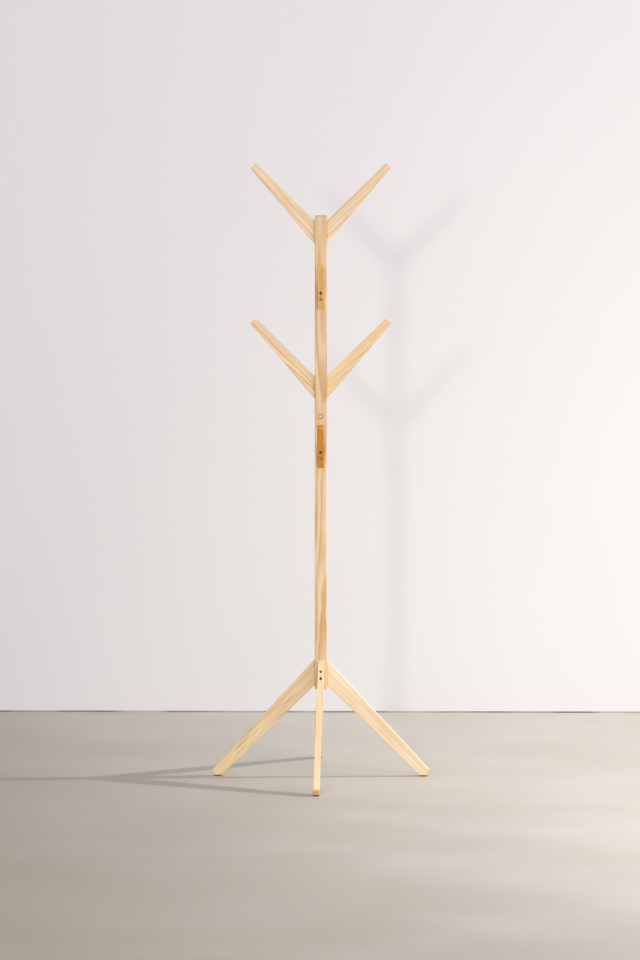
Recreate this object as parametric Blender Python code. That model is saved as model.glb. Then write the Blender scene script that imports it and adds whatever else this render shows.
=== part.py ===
"""Standing coat rack: a square pine post in two lengths, with tapered arms and four splayed legs.

Metres, +Z up. The origin is on the floor under the post's axis, and -Y is the front.
Every arm and leg is a flat board whose base butts against one face of the post, held by two
screws that enter through the board's sloping edge. The front and back legs stand a little askew.
"""

import math

import bmesh
import bpy
from mathutils import Matrix, Vector

# Gap left between two pieces that touch.
FIT_GAP = 0.0003

# Post: two square bars, end to end.
POST_SIDE = 0.034
POST_ABOVE_FLOOR = 0.250
LOWER_POST_LENGTH = 0.748
UPPER_POST_LENGTH = 0.602
POST_ARRIS = 0.0016
POST_TOP_ROUND = 0.0030
POST_END_ARRIS = 0.0006

# Joint of the two bars: a loose dowel, and a bolt with a sleeve nut across the upper bar.
DOWEL_DIAMETER = 0.018
DOWEL_REACH = 0.055
DOWEL_CHAMFER = 0.0015
BOLT_ABOVE_SEAM = 0.028
BOLT_DIAMETER = 0.006
BOLT_IN_SLEEVE = 0.0068
BOLT_HEAD_DIAMETER = 0.0095
BOLT_HEAD_HEIGHT = 0.0032
BOLT_HEAD_EASE = 0.0008
BOLT_RECESS_DIAMETER = 0.0146
BOLT_RECESS_DEPTH = 0.0050
BOLT_KEY_ACROSS_FLATS = 0.0040
BOLT_KEY_DEPTH = 0.0020
SLEEVE_DIAMETER = 0.0085
SLEEVE_LENGTH = 0.0125
SLEEVE_THREAD_DEPTH = 0.0105
SLEEVE_FLANGE_DIAMETER = 0.0130
SLEEVE_FLANGE_HEIGHT = 0.0018

# Boards that arms and legs are cut from.
BOARD_THICKNESS = 0.018
BOARD_ARRIS = 0.0010
TIP_ROUND = 0.0025

# Arms: the angle is that of the underside above level, and the lengths run along the underside.
ARM_ANGLE = math.radians(49.5)
ARM_BASE = 0.065
ARM_TIP_WIDTH = 0.021
LONG_ARM_LENGTH = 0.2837
SHORT_ARM_LENGTH = 0.1473
ARM_SCREW_HEIGHTS = (0.0285, 0.0460)

# Where the bases of the arms meet the post.
TOP_ARMS_BELOW_POST_TOP = 0.0145
SIDE_ARMS_ABOVE_SEAM = 0.0790
HIGH_SHORT_ARMS_ABOVE_SEAM = 0.3320
LOW_SHORT_ARMS_BELOW_SEAM = 0.0540

# Legs: the reach runs from the post's face to the toe.
LEG_BASE = 0.072
LEG_REACH = 0.292
LEG_NOSE_HEIGHT = 0.0150
LEG_NOSE_RAKE = 0.0045
LEG_SOLE = 0.0230
LEGS_ABOVE_POST_END = 0.0105
LEG_SCREW_HEIGHTS = (0.0250, 0.0427)
# How far the toes of the front and back legs stand to the left of the post's axis.
LEG_ASKEW = 0.0095

# Felt pad under each sole.
PAD_THICKNESS = 0.0030
PAD_INSET = 0.0010
PAD_CORNER = 0.0030

# Wood screws: all alike, with the head sunk below the board's sloping edge.
SCREW_DIAMETER = 0.0040
SCREW_POINT = 0.0050
SCREW_HEAD_DIAMETER = 0.0070
SCREW_HEAD_HEIGHT = 0.0026
SCREW_HEAD_RIM = 0.0008
SCREW_RECESS_DIAMETER = 0.0078
SCREW_HEAD_SUNK = 0.0050
SCREW_TIP_SPACE = 0.0080

# Steps of the round shapes.
ROUND_SIDES = 16
DOWEL_SIDES = 24
SCREW_SIDES = 12
HEX_SIDES = 6
DOME_STEPS = 3
CORNER_STEPS = 3
EASE_STEPS = 2
SMOOTH_ANGLE = math.radians(35)
# How far a cutter runs past the face that it opens.
OVERCUT = 0.002

# Places that follow from the sizes above; the arms' and legs' heights are of their bases' lower ends.
SEAM_HEIGHT = POST_ABOVE_FLOOR + LOWER_POST_LENGTH
POST_TOP = SEAM_HEIGHT + UPPER_POST_LENGTH
POST_FACE = POST_SIDE / 2
TOP_ARMS = POST_TOP - TOP_ARMS_BELOW_POST_TOP - ARM_BASE
SIDE_ARMS = SEAM_HEIGHT + SIDE_ARMS_ABOVE_SEAM
HIGH_SHORT_ARMS = SEAM_HEIGHT + HIGH_SHORT_ARMS_ABOVE_SEAM
LOW_SHORT_ARMS = SEAM_HEIGHT - LOW_SHORT_ARMS_BELOW_SEAM - ARM_BASE
LEGS = POST_ABOVE_FLOOR + LEGS_ABOVE_POST_END
BOLT_HEIGHT = SEAM_HEIGHT + BOLT_ABOVE_SEAM
BOLT_SEAT = POST_FACE - BOLT_RECESS_DEPTH
SLEEVE_SEAT = POST_FACE - SLEEVE_FLANGE_HEIGHT
SLEEVE_MOUTH = SLEEVE_SEAT - SLEEVE_LENGTH
BOLT_REACH = BOLT_SEAT + SLEEVE_MOUTH + BOLT_IN_SLEEVE
BOARD_WALL_AT_SCREW = (
    (ARM_SCREW_HEIGHTS[0] - SCREW_RECESS_DIAMETER / 2) / math.tan(ARM_ANGLE) - SCREW_HEAD_SUNK
)
SCREW_LENGTH = BOARD_WALL_AT_SCREW + POST_FACE - SCREW_TIP_SPACE / 2
LEG_SOLE_LEVEL = PAD_THICKNESS - LEGS
LEG_SCREW_LEVEL = sum(LEG_SCREW_HEIGHTS) / 2
LEG_SLANT = LEG_ASKEW / (LEG_SCREW_LEVEL - LEG_SOLE_LEVEL)

# Local Y points right on a front leg and left on a back one, so their slants are opposite.
LEG_SLANTS = {"front": LEG_SLANT, "back": -LEG_SLANT}

# The turn about Z that points a board's reach, local +X, at each side of the post.
SIDE_TURNS = {
    "right": 0.0,
    "back": math.pi / 2,
    "left": math.pi,
    "front": -math.pi / 2,
}


def clear_scene():
    for item in list(bpy.data.objects):
        bpy.data.objects.remove(item)


def make_material(name, colour, roughness, metallic=0.0):
    material = bpy.data.materials.new(name)
    material.use_nodes = True
    shader = material.node_tree.nodes["Principled BSDF"]
    shader.inputs["Base Color"].default_value = (*colour, 1.0)
    shader.inputs["Roughness"].default_value = roughness
    shader.inputs["Metallic"].default_value = metallic
    material.diffuse_color = (*colour, 1.0)
    return material


def place(name, mesh, material=None, at=(0, 0, 0), turn=0.0):
    """Make an object of a mesh, turned about Z and set at a point."""
    item = bpy.data.objects.new(name, mesh)
    bpy.context.scene.collection.objects.link(item)
    item.matrix_world = Matrix.Translation(at) @ Matrix.Rotation(turn, 4, "Z")
    if material and not mesh.materials:
        mesh.materials.append(material)
    return item


def finished_mesh(name, bm):
    """Close a bmesh into a mesh with outward faces and smooth rounds."""
    bmesh.ops.recalc_face_normals(bm, faces=bm.faces)
    mesh = bpy.data.meshes.new(name)
    bm.to_mesh(mesh)
    bm.free()
    soften(mesh)
    return mesh


def soften(mesh):
    mesh.shade_smooth()
    mesh.set_sharp_from_angle(angle=SMOOTH_ANGLE)


def turned_mesh(name, profile, sides=ROUND_SIDES):
    """Turn a profile of (x, radius) points round the local X axis, from axis to axis."""
    bm = bmesh.new()
    rings = []
    for x, radius in profile:
        if radius == 0:
            rings.append([bm.verts.new((x, 0, 0))])
            continue
        angles = [2 * math.pi * step / sides for step in range(sides)]
        rings.append(
            [bm.verts.new((x, radius * math.cos(a), radius * math.sin(a))) for a in angles]
        )
    for ring, following in zip(rings, rings[1:]):
        for step in range(sides):
            corners = (
                ring[step % len(ring)],
                ring[(step + 1) % len(ring)],
                following[(step + 1) % len(following)],
                following[step % len(following)],
            )
            bm.faces.new(dict.fromkeys(corners))
    return finished_mesh(name, bm)


def cutter(name, mesh, at=(0, 0, 0), turn=0.0):
    """A solid that only removes wood."""
    item = place(name, mesh, None, at, turn)
    item.hide_render = True
    item.display_type = "WIRE"
    return item


def cut(body, cutters):
    """Take the cutters out of the body, and keep the result as the body's own mesh.

    Body and cutters are all closed, and the exact solver leaves gaps where one long face holds
    many holes, so this uses the manifold solver.
    """
    for tool in cutters:
        modifier = body.modifiers.new(tool.name, "BOOLEAN")
        modifier.operation = "DIFFERENCE"
        modifier.solver = "MANIFOLD"
        modifier.object = tool
    bpy.context.view_layer.update()
    depsgraph = bpy.context.evaluated_depsgraph_get()
    mesh = bpy.data.meshes.new_from_object(body.evaluated_get(depsgraph))
    body.modifiers.clear()
    mesh.name = body.data.name
    body.data = mesh
    soften(mesh)
    for tool in cutters:
        bpy.data.objects.remove(tool)
    return mesh


def drill(name, start, end, diameter, at, turn):
    """A straight drill along the local X axis, between two distances from its place."""
    radius = diameter / 2
    profile = [(start, 0), (start, radius), (end, radius), (end, 0)]
    return cutter(name, turned_mesh(name, profile), at, turn)


def rounded(before, corner, after, radius):
    """Points of the arc that rounds one corner of an outline."""
    back = (before - corner).normalized()
    onward = (after - corner).normalized()
    half = back.angle(onward) / 2
    middle = corner + (back + onward).normalized() * (radius / math.sin(half))
    first = corner + back * (radius / math.tan(half)) - middle
    last = corner + onward * (radius / math.tan(half)) - middle
    return [
        middle + first.lerp(last, step / CORNER_STEPS).normalized() * radius
        for step in range(CORNER_STEPS + 1)
    ]


def board_mesh(name, outline):
    """A board: its outline in local X and Z, its thickness on Y, its free edges eased."""
    bm = bmesh.new()
    half = BOARD_THICKNESS / 2
    face = bm.faces.new([bm.verts.new((point.x, -half, point.y)) for point in outline])
    grown = bmesh.ops.extrude_face_region(bm, geom=[face])["geom"]
    moved = [item for item in grown if isinstance(item, bmesh.types.BMVert)]
    bmesh.ops.translate(bm, verts=moved, vec=(0, BOARD_THICKNESS, 0))
    rims = []
    for edge in bm.edges:
        first, second = edge.verts
        crosses = abs(first.co.y - second.co.y) > half
        on_base = max(first.co.x, second.co.x) < BOARD_ARRIS
        if not crosses and not on_base:
            rims.append(edge)
    ease_edges(bm, rims, BOARD_ARRIS, 1)
    return finished_mesh(name, bm)


def arm_outline(length):
    """Base on the post, straight underside, square-cut tip, and a top edge back to the base."""
    along = Vector((math.cos(ARM_ANGLE), math.sin(ARM_ANGLE)))
    across = Vector((-along.y, along.x))
    heel = Vector((0, 0))
    base_top = Vector((0, ARM_BASE))
    tip_low = along * length
    tip_high = tip_low + across * ARM_TIP_WIDTH
    return [
        heel,
        *rounded(heel, tip_low, tip_high, TIP_ROUND),
        *rounded(tip_low, tip_high, base_top, TIP_ROUND),
        base_top,
    ]


def leg_outline():
    """Base on the post, outer edge down to a short raked nose, level sole, inner edge back up."""
    sole = LEG_SOLE_LEVEL
    heel = Vector((0, 0))
    base_top = Vector((0, LEG_BASE))
    nose_top = Vector((LEG_REACH, sole + LEG_NOSE_HEIGHT))
    nose_low = Vector((LEG_REACH - LEG_NOSE_RAKE, sole))
    sole_end = nose_low - Vector((LEG_SOLE, 0))
    return [
        heel,
        sole_end,
        *rounded(sole_end, nose_low, nose_top, TIP_ROUND),
        *rounded(nose_low, nose_top, base_top, TIP_ROUND),
        base_top,
    ]


def drilled_board(name, outline, material, screw_heights, slant=0.0):
    """A board with a screw hole and a head recess at each height, square to its base.

    A slant sends the board sideways, along local Y, as it rises past the middle of its screws.
    """
    beyond = max(point.x for point in outline) + OVERCUT
    level = sum(screw_heights) / len(screw_heights)
    slanted = Matrix(((1, 0, 0, 0), (0, 1, slant, -slant * level), (0, 0, 1, 0), (0, 0, 0, 1)))
    board = board_mesh(name, outline)
    board.transform(slanted)
    body = place(name, board)
    hole = SCREW_DIAMETER + 2 * FIT_GAP
    tools = []
    for height in screw_heights:
        at = (0, 0, height)
        tools.append(
            drill("screw_hole", -OVERCUT, BOARD_WALL_AT_SCREW + OVERCUT, hole, at, 0)
        )
        tools.append(
            drill("head_recess", BOARD_WALL_AT_SCREW, beyond, SCREW_RECESS_DIAMETER, at, 0)
        )
    mesh = cut(body, tools)
    mesh.materials.append(material)
    bpy.data.objects.remove(body)
    return mesh


def screw_mesh():
    """A pan-head wood screw on local X: the head's underside at 0, the point at -SCREW_LENGTH."""
    shank = SCREW_DIAMETER / 2
    rim = SCREW_HEAD_DIAMETER / 2
    dome = SCREW_HEAD_HEIGHT - SCREW_HEAD_RIM
    profile = [
        (-SCREW_LENGTH, 0),
        (-SCREW_LENGTH + SCREW_POINT, shank),
        (0, shank),
        (0, rim),
    ]
    for step in range(DOME_STEPS):
        angle = math.pi / 2 * step / DOME_STEPS
        profile.append((SCREW_HEAD_RIM + dome * math.sin(angle), rim * math.cos(angle)))
    profile.append((SCREW_HEAD_HEIGHT, 0))
    return turned_mesh("wood_screw", profile, SCREW_SIDES)


def fix_board(name, mesh, side, base_height, screw_heights):
    """Set a board on one face of the post, with its two screws."""
    turn = SIDE_TURNS[side]
    outward = Vector((math.cos(turn), math.sin(turn), 0))
    base = outward * (POST_FACE + FIT_GAP) + Vector((0, 0, base_height))
    place(name, mesh, None, base, turn)
    for label, height in zip(("lower", "upper"), screw_heights):
        seat = base + outward * (BOARD_WALL_AT_SCREW + FIT_GAP) + Vector((0, 0, height))
        place(f"{name}_screw_{label}", screw, None, seat, turn)


def pilot_holes(sides, base_height, screw_heights):
    """Holes in the post for the screws of boards on the given sides."""
    hole = SCREW_DIAMETER + 2 * FIT_GAP
    bottom = SCREW_TIP_SPACE / 2
    mouth = POST_FACE + OVERCUT
    tools = []
    for side in sides:
        for height in screw_heights:
            at = (0, 0, base_height + height)
            tools.append(drill("pilot", bottom, mouth, hole, at, SIDE_TURNS[side]))
    return tools


def upright_edges(bm):
    """The edges that run straight up."""
    return [e for e in bm.edges if (e.verts[0].co - e.verts[1].co).xy.length < FIT_GAP]


def ease_edges(bm, edges, size, steps):
    bmesh.ops.bevel(bm, geom=edges, offset=size, segments=steps, profile=0.5, affect="EDGES")


def bar_mesh(name, bottom, top, bottom_ease, top_ease):
    """A square bar with eased long edges and ends."""
    bm = bmesh.new()
    bmesh.ops.create_cube(bm, size=1)
    bmesh.ops.scale(bm, vec=(POST_SIDE, POST_SIDE, top - bottom), verts=bm.verts)
    bmesh.ops.translate(bm, vec=(0, 0, (top + bottom) / 2), verts=bm.verts)
    ease_edges(bm, upright_edges(bm), POST_ARRIS, EASE_STEPS)
    for height, ease in ((bottom, bottom_ease), (top, top_ease)):
        ring = [e for e in bm.edges if all(abs(v.co.z - height) < FIT_GAP for v in e.verts)]
        ease_edges(bm, ring, ease, EASE_STEPS)
    return finished_mesh(name, bm)


def standing_drill(name, bottom, top, diameter):
    """A drill along the post's own axis."""
    tool = drill(name, bottom, top, diameter, (0, 0, 0), 0)
    tool.matrix_world = Matrix.Rotation(-math.pi / 2, 4, "Y")
    return tool


def cross_hole_tools(bolt_height):
    """Drills from front to back for the bolt, its head, the sleeve nut and the nut's flange."""
    at = (0, 0, bolt_height)
    front = SIDE_TURNS["front"]
    back = SIDE_TURNS["back"]
    sleeve_end = SLEEVE_MOUTH - FIT_GAP
    bolt_hole = BOLT_DIAMETER + 2 * FIT_GAP
    sleeve_hole = SLEEVE_DIAMETER + 2 * FIT_GAP
    flange_hole = SLEEVE_FLANGE_DIAMETER + 2 * FIT_GAP
    past = POST_FACE + OVERCUT
    return [
        drill("bolt_hole", -sleeve_end - OVERCUT, BOLT_SEAT + OVERCUT, bolt_hole, at, front),
        drill("bolt_recess", BOLT_SEAT, past, BOLT_RECESS_DIAMETER, at, front),
        drill("sleeve_hole", sleeve_end, SLEEVE_SEAT + OVERCUT, sleeve_hole, at, back),
        drill("flange_recess", SLEEVE_SEAT - FIT_GAP, past, flange_hole, at, back),
    ]


def make_posts(material):
    """The two bars of the post, bored for the dowel, the cross bolt and every screw."""
    bore = DOWEL_DIAMETER + 2 * FIT_GAP
    reach = DOWEL_REACH + FIT_GAP
    seam_low = SEAM_HEIGHT - FIT_GAP / 2
    seam_high = SEAM_HEIGHT + FIT_GAP / 2

    mesh = bar_mesh("lower_post", POST_ABOVE_FLOOR, seam_low, POST_END_ARRIS, POST_END_ARRIS)
    lower = place("lower_post", mesh, material)
    tools = [standing_drill("dowel_bore", SEAM_HEIGHT - reach, SEAM_HEIGHT + OVERCUT, bore)]
    tools += pilot_holes(SIDE_TURNS, LEGS, LEG_SCREW_HEIGHTS)
    tools += pilot_holes(("front", "back"), LOW_SHORT_ARMS, ARM_SCREW_HEIGHTS)
    cut(lower, tools)

    mesh = bar_mesh("upper_post", seam_high, POST_TOP, POST_END_ARRIS, POST_TOP_ROUND)
    upper = place("upper_post", mesh, material)
    tools = [standing_drill("dowel_bore", SEAM_HEIGHT - OVERCUT, SEAM_HEIGHT + reach, bore)]
    tools += cross_hole_tools(BOLT_HEIGHT)
    tools += pilot_holes(("left", "right"), TOP_ARMS, ARM_SCREW_HEIGHTS)
    tools += pilot_holes(("left", "right"), SIDE_ARMS, ARM_SCREW_HEIGHTS)
    tools += pilot_holes(("front", "back"), HIGH_SHORT_ARMS, ARM_SCREW_HEIGHTS)
    cut(upper, tools)


def make_joining_dowel(material):
    """The loose dowel across the seam, bored for the bolt and the sleeve nut."""
    radius = DOWEL_DIAMETER / 2
    low = SEAM_HEIGHT - DOWEL_REACH
    high = SEAM_HEIGHT + DOWEL_REACH
    profile = [
        (low, 0),
        (low, radius - DOWEL_CHAMFER),
        (low + DOWEL_CHAMFER, radius),
        (high - DOWEL_CHAMFER, radius),
        (high, radius - DOWEL_CHAMFER),
        (high, 0),
    ]
    mesh = turned_mesh("joining_dowel", profile, DOWEL_SIDES)
    mesh.transform(Matrix.Rotation(-math.pi / 2, 4, "Y"))
    dowel = place("joining_dowel", mesh, material)
    cut(dowel, cross_hole_tools(BOLT_HEIGHT))


def make_joint_bolt(material):
    """The socket-head bolt, from the front face into the sleeve nut."""
    shank = BOLT_DIAMETER / 2
    rim = BOLT_HEAD_DIAMETER / 2
    profile = [
        (-BOLT_REACH, 0),
        (-BOLT_REACH, shank),
        (0, shank),
        (0, rim),
        (BOLT_HEAD_HEIGHT - BOLT_HEAD_EASE, rim),
        (BOLT_HEAD_HEIGHT, rim - BOLT_HEAD_EASE),
        (BOLT_HEAD_HEIGHT, 0),
    ]
    at = (0, -BOLT_SEAT - FIT_GAP, BOLT_HEIGHT)
    turn = SIDE_TURNS["front"]
    bolt = place("joint_bolt", turned_mesh("joint_bolt", profile), material, at, turn)
    floor = BOLT_HEAD_HEIGHT - BOLT_KEY_DEPTH
    past = BOLT_HEAD_HEIGHT + OVERCUT
    corner = BOLT_KEY_ACROSS_FLATS / math.sqrt(3)
    key_profile = [(floor, 0), (floor, corner), (past, corner), (past, 0)]
    key = turned_mesh("key_socket", key_profile, HEX_SIDES)
    cut(bolt, [cutter("key_socket", key, at, turn)])


def make_joint_sleeve_nut(material):
    """The flanged sleeve nut, from the back face, open towards the bolt."""
    outer = SLEEVE_DIAMETER / 2
    thread = BOLT_DIAMETER / 2 + FIT_GAP
    flange = SLEEVE_FLANGE_DIAMETER / 2
    profile = [
        (-SLEEVE_LENGTH + SLEEVE_THREAD_DEPTH, 0),
        (-SLEEVE_LENGTH + SLEEVE_THREAD_DEPTH, thread),
        (-SLEEVE_LENGTH, thread),
        (-SLEEVE_LENGTH, outer),
        (0, outer),
        (0, flange),
        (SLEEVE_FLANGE_HEIGHT - FIT_GAP, flange),
        (SLEEVE_FLANGE_HEIGHT - FIT_GAP, 0),
    ]
    at = (0, SLEEVE_SEAT, BOLT_HEIGHT)
    mesh = turned_mesh("joint_sleeve_nut", profile)
    place("joint_sleeve_nut", mesh, material, at, SIDE_TURNS["back"])


def make_foot_pads(material):
    """A rounded felt pad under each leg's sole."""
    length = LEG_SOLE - 2 * PAD_INSET
    width = BOARD_THICKNESS - 2 * PAD_INSET
    middle = POST_FACE + FIT_GAP + LEG_REACH - LEG_NOSE_RAKE - LEG_SOLE / 2
    thickness = PAD_THICKNESS - FIT_GAP
    bm = bmesh.new()
    bmesh.ops.create_cube(bm, size=1)
    bmesh.ops.scale(bm, vec=(length, width, thickness), verts=bm.verts)
    bmesh.ops.translate(bm, vec=(0, 0, thickness / 2), verts=bm.verts)
    ease_edges(bm, upright_edges(bm), PAD_CORNER, CORNER_STEPS)
    mesh = finished_mesh("foot_pad", bm)
    for side, turn in SIDE_TURNS.items():
        askew = LEG_ASKEW if side in LEG_SLANTS else 0
        at = (middle * math.cos(turn) - askew, middle * math.sin(turn), 0)
        place(f"{side}_foot_pad", mesh, material, at, turn)


clear_scene()

post_pine = make_material("post_pine", (0.80, 0.56, 0.34), 0.50)
arm_pine = make_material("arm_pine", (0.84, 0.61, 0.37), 0.50)
leg_pine = make_material("leg_pine", (0.84, 0.60, 0.32), 0.50)
beech = make_material("beech", (0.62, 0.42, 0.26), 0.60)
zinc = make_material("zinc_plate", (0.72, 0.72, 0.70), 0.30, 1.0)
nickel = make_material("nickel_plate", (0.66, 0.64, 0.60), 0.25, 1.0)
felt = make_material("brown_felt", (0.10, 0.055, 0.035), 0.95)

make_posts(post_pine)
make_joining_dowel(beech)
make_joint_bolt(nickel)
make_joint_sleeve_nut(nickel)

long_arm = drilled_board("long_arm", arm_outline(LONG_ARM_LENGTH), arm_pine, ARM_SCREW_HEIGHTS)
short_arm = drilled_board("short_arm", arm_outline(SHORT_ARM_LENGTH), arm_pine, ARM_SCREW_HEIGHTS)
legs = {
    side: drilled_board("leg", leg_outline(), leg_pine, LEG_SCREW_HEIGHTS, LEG_SLANTS.get(side, 0.0))
    for side in SIDE_TURNS
}
screw = screw_mesh()
screw.materials.append(zinc)

for side in ("left", "right"):
    fix_board(f"upper_{side}_arm", long_arm, side, TOP_ARMS, ARM_SCREW_HEIGHTS)
    fix_board(f"lower_{side}_arm", long_arm, side, SIDE_ARMS, ARM_SCREW_HEIGHTS)
for side in ("front", "back"):
    fix_board(f"upper_{side}_arm", short_arm, side, HIGH_SHORT_ARMS, ARM_SCREW_HEIGHTS)
    fix_board(f"lower_{side}_arm", short_arm, side, LOW_SHORT_ARMS, ARM_SCREW_HEIGHTS)
for side, leg in legs.items():
    fix_board(f"{side}_leg", leg, side, LEGS, LEG_SCREW_HEIGHTS)
make_foot_pads(felt)
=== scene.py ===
import math

import bmesh
import bpy
from mathutils import Matrix, Vector


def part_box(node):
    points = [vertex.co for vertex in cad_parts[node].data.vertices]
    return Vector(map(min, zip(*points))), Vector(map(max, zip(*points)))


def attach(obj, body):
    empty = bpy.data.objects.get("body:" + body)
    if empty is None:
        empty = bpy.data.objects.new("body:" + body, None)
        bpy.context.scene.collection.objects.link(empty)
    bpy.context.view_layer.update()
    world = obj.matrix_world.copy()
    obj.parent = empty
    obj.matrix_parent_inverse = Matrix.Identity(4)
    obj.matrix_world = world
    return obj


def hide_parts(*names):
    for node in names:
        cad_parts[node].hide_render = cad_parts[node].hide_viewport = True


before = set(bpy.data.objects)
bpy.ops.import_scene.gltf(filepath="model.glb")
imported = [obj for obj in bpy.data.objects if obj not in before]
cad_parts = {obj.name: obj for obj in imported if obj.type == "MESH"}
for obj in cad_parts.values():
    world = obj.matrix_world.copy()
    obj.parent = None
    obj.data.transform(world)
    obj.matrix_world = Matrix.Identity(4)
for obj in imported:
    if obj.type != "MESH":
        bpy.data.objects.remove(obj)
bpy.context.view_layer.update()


# ---- The room ----------------------------------------------------------------------------------
# A screeded floor, darkened towards the front left by painted shade, and a painted wall a good step
# behind the rack, with a narrow dark line of painted shadow at its foot. From behind, the wall is
# see-through, so the rack can be looked at from there too.

FLOOR_REACH = 9.0
WALL_BEHIND_POST = 1.18
WALL_HEIGHT = 5.0
SCREED_PALE = (0.520, 0.492, 0.450, 1.0)
SCREED_DULL = (0.465, 0.435, 0.388, 1.0)
# The tint below darkens the floor towards the front left: painted shade.
SCREED_PAINTED_SHADE_TINT = (0.540, 0.515, 0.470, 1.0)
SCREED_GLOSS = 0.35
FLOOR_SHADE_RUN = (0.92, 0.38, 0.0)
FLOOR_SHADE_FULL = -1.4
FLOOR_SHADE_NONE = 0.8
FLOOR_SHADE_WANDER = 0.2
PAINT_PALE = (0.835, 0.817, 0.822, 1.0)
PAINT_DULL = (0.815, 0.797, 0.802, 1.0)
PAINT_ROUGHNESS = 0.85
# The gap shade is painted shadow along the wall's foot. No gap is built.
GAP_SHADE = (0.130, 0.120, 0.115, 1.0)
GAP_HEIGHT = 0.005


def fill(tree, node, inputs):
    """Fill a node's sockets from values or from other nodes' outputs."""
    for socket, value in dict(inputs).items():
        if isinstance(value, bpy.types.NodeSocket):
            tree.links.new(value, node.inputs[socket])
        else:
            node.inputs[socket].default_value = value


def add_node(tree, kind, inputs=(), **settings):
    """Add a node with its settings, then fill its sockets."""
    made = tree.nodes.new(kind)
    for name, value in settings.items():
        setattr(made, name, value)
    fill(tree, made, inputs)
    return made


def maths(tree, operation, *values):
    return add_node(tree, "ShaderNodeMath", enumerate(values), operation=operation).outputs[0]


def dot(tree, vector, direction):
    """How far a vector reaches along a direction."""
    inputs = {0: vector, 1: direction}
    made = add_node(tree, "ShaderNodeVectorMath", inputs, operation="DOT_PRODUCT")
    return made.outputs["Value"]


def graded(tree, value, low, high, start=0.0, end=1.0):
    """Ease a value from start to end as it goes from low to high."""
    inputs = {"Value": value, "From Min": low, "From Max": high, "To Min": start, "To Max": end}
    made = add_node(tree, "ShaderNodeMapRange", inputs, interpolation_type="SMOOTHSTEP")
    return made.outputs["Result"]


def tinted(tree, amount, first, second, way="MIX"):
    """Go from the first colour to the second by an amount, or multiply the first by the second."""
    inputs = {0: amount, 6: first, 7: second}
    made = add_node(tree, "ShaderNodeMix", inputs, data_type="RGBA", blend_type=way)
    return made.outputs[2]


def marks(tree, place, size, detail=2.0, roughness=0.5):
    """Soft random marks, each of about the given size along x, y and z."""
    scale = tuple(1.0 / side for side in size)
    inputs = {0: place, 1: scale}
    spread = add_node(tree, "ShaderNodeVectorMath", inputs, operation="MULTIPLY").outputs[0]
    inputs = {"Vector": spread, "Scale": 1.0, "Detail": detail, "Roughness": roughness}
    return add_node(tree, "ShaderNodeTexNoise", inputs).outputs["Fac"]


def bare_material(name):
    """A new material, with its node tree, its shader and the object's own coordinates."""
    material = bpy.data.materials.new(name)
    material.use_nodes = True
    tree = material.node_tree
    here = add_node(tree, "ShaderNodeTexCoord").outputs["Object"]
    return material, tree, tree.nodes["Principled BSDF"], here


def dress(tree, shader, colour, roughness, relief, strength, depth):
    """Give a shader its colour, its roughness, and a bump from a relief."""
    bump = add_node(tree, "ShaderNodeBump", {"Strength": strength, "Distance": depth, "Height": relief})
    fill(tree, shader, {"Base Color": colour, "Roughness": roughness, "Normal": bump.outputs[0]})


def new_object(name, data):
    made = bpy.data.objects.new(name, data)
    bpy.context.scene.collection.objects.link(made)
    return made


def flat_sheet(name, corners, material):
    mesh = bpy.data.meshes.new(name)
    mesh.from_pydata(corners, [], [tuple(range(len(corners)))])
    mesh.materials.append(material)
    return new_object(name, mesh)


screed, tree, shader, here = bare_material("floor_screed")
clouds = marks(tree, here, (0.55, 0.28, 0.5), 4.0, 0.6)
trowelling = marks(tree, here, (0.050, 0.018, 0.05), 3.0, 0.6)
dust = marks(tree, here, (0.004, 0.004, 0.004))
colour = tinted(tree, graded(tree, clouds, 0.30, 0.72), SCREED_DULL, SCREED_PALE)
colour = tinted(tree, graded(tree, trowelling, 0.45, 0.75, 0.0, 0.10), colour, SCREED_DULL)
colour = tinted(tree, graded(tree, dust, 0.5, 0.8, 0.0, 0.10), colour, SCREED_DULL)
# Painted shade: the screed's colour is darkened towards the front left, unevenly along the clouds.
shade_across = maths(tree, "ADD", dot(tree, here, FLOOR_SHADE_RUN), maths(tree, "MULTIPLY", clouds, FLOOR_SHADE_WANDER))
painted_floor_shade = graded(tree, shade_across, FLOOR_SHADE_FULL, FLOOR_SHADE_NONE, 1.0, 0.0)
colour = tinted(tree, painted_floor_shade, colour, SCREED_PAINTED_SHADE_TINT, "MULTIPLY")
dress(tree, shader, colour, graded(tree, clouds, 0.3, 0.7, 0.52, 0.66), trowelling, 0.15, 0.002)
fill(tree, shader, {"Specular IOR Level": SCREED_GLOSS})

floor_corners = [
    (-FLOOR_REACH, -FLOOR_REACH, 0),
    (FLOOR_REACH, -FLOOR_REACH, 0),
    (FLOOR_REACH, FLOOR_REACH, 0),
    (-FLOOR_REACH, FLOOR_REACH, 0),
]
floor = flat_sheet("floor", floor_corners, screed)

paint, tree, shader, here = bare_material("wall_paint")
roller = marks(tree, here, (0.02, 0.02, 0.02), 3.0, 0.6)
clouds = marks(tree, here, (1.1, 1.0, 1.4))
colour = tinted(tree, graded(tree, clouds, 0.3, 0.7), PAINT_DULL, PAINT_PALE)
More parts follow.
